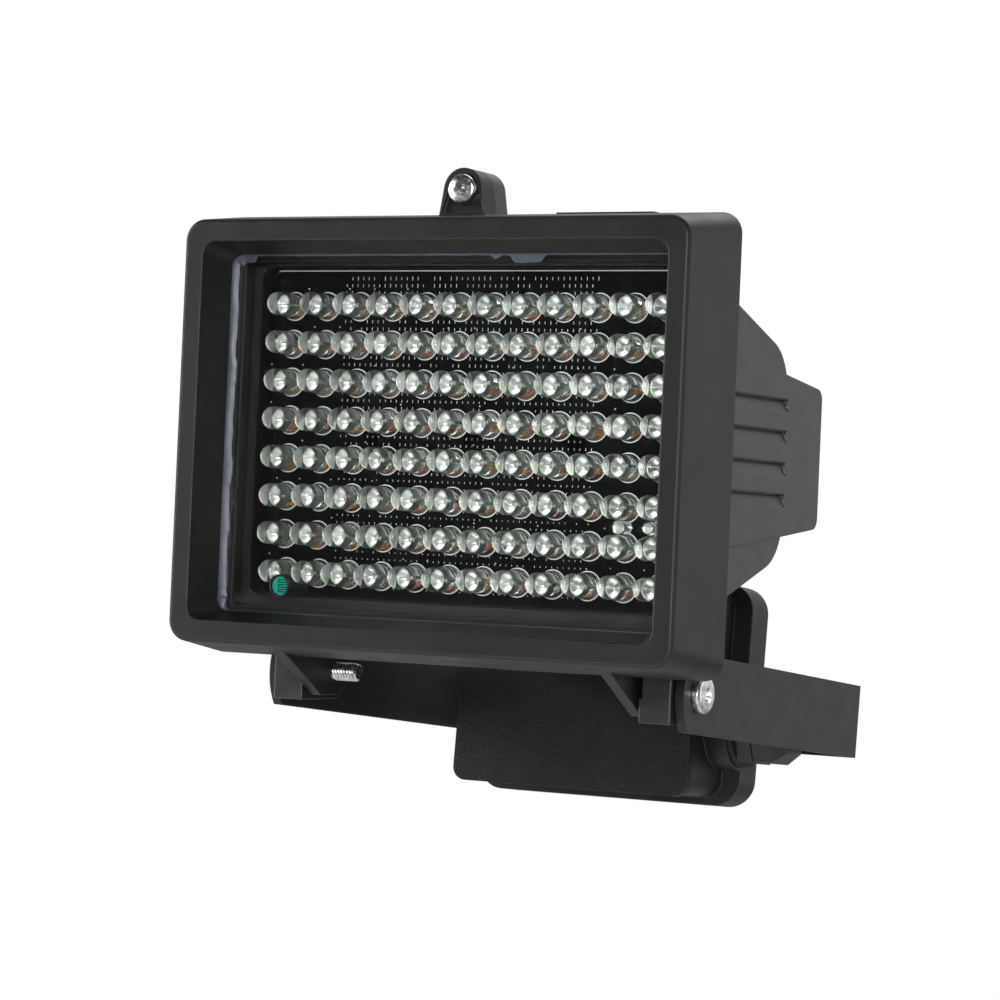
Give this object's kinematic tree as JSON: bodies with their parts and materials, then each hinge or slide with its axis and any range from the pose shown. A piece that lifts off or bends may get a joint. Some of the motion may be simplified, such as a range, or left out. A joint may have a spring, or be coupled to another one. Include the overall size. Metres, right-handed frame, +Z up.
{
  "type": "infrared illuminator",
  "caption": "Outdoor infrared floodlight: a grid of clear LEDs behind glass in a black cast housing, on a tilting U-bracket, with a junction box and an empty cable gland.",
  "frame": {"origin": "centre of the bracket's wall face, where its middle hole meets the wall", "axes": "+Y into the wall, so the lamp faces -Y; +Z up; +X to the right of someone who looks at the lamp, the side of the cable gland"},
  "size_m": [0.1206, 0.1272, 0.1245],
  "materials": {
    "coated_aluminium": "satin black powder coat",
    "coated_steel": "satin black powder coat",
    "zinc_screws": "bright zinc",
    "window_glass": "clear polished",
    "silicone": "soft satin, half clear",
    "black_rubber": "matte",
    "circuit_board": "black solder mask, satin",
    "clear_epoxy": "clear moulded",
    "sensor_face": "green, glossy",
    "sensor_rim": "clear moulded",
    "black_sleeve": "matte",
    "textured_plastic": "fine spark-eroded texture",
    "smooth_plastic": "smooth satin",
    "gland_plastic": "smooth satin",
    "plated_tube": "bright zinc",
    "connector_plastic": "moulded",
    "terminal_plastic": "moulded",
    "lead_jacket": "smooth",
    "transformer_tape": "taped",
    "capacitor_sleeve": "shrunk sleeve"
  },
  "bodies": {
    "bracket": {"bracket": "coated_steel"},
    "lamp": {"housing": "coated_aluminium", "front_frame": "coated_aluminium", "pivot_screws": "zinc_screws", "frame_screw": "zinc_screws", "box_screws": "zinc_screws", "power_board_screws": "zinc_screws", "front_glass": "window_glass", "glass_seal": "silicone", "frame_gasket": "black_rubber", "box_seal": "black_rubber", "nipple_seal": "black_rubber", "gland_washer": "black_rubber", "gland_insert": "black_rubber", "led_board": "circuit_board", "power_board": "circuit_board", "ir_led_row_1": "clear_epoxy", "ir_led_row_2": "clear_epoxy", "ir_led_row_3": "clear_epoxy", "ir_led_row_4": "clear_epoxy", "ir_led_row_5": "clear_epoxy", "ir_led_row_6": "clear_epoxy", "ir_led_row_7": "clear_epoxy", "ir_led_row_8": "clear_epoxy", "indicator_led": "clear_epoxy", "photocell": "sensor_face", "light_sensor": "sensor_rim", "photocell_holder": "black_sleeve", "box_base": "textured_plastic", "box_body": "smooth_plastic", "gland_body": "gland_plastic", "gland_nut": "gland_plastic", "gland_locknut": "gland_plastic", "nipple": "plated_tube", "nipple_nuts": "plated_tube", "board_connector": "connector_plastic", "terminal_block": "terminal_plastic", "board_lead": "lead_jacket", "transformer": "transformer_tape", "capacitor": "capacitor_sleeve"}
  },
  "joints": [
    {"name": "lamp_tilt", "type": "hinge", "parent": "bracket", "child": "lamp", "pos_m": [0, -0.0863, 0], "axis": [1, 0, 0], "range_deg": [-30, 80]}
  ]
}
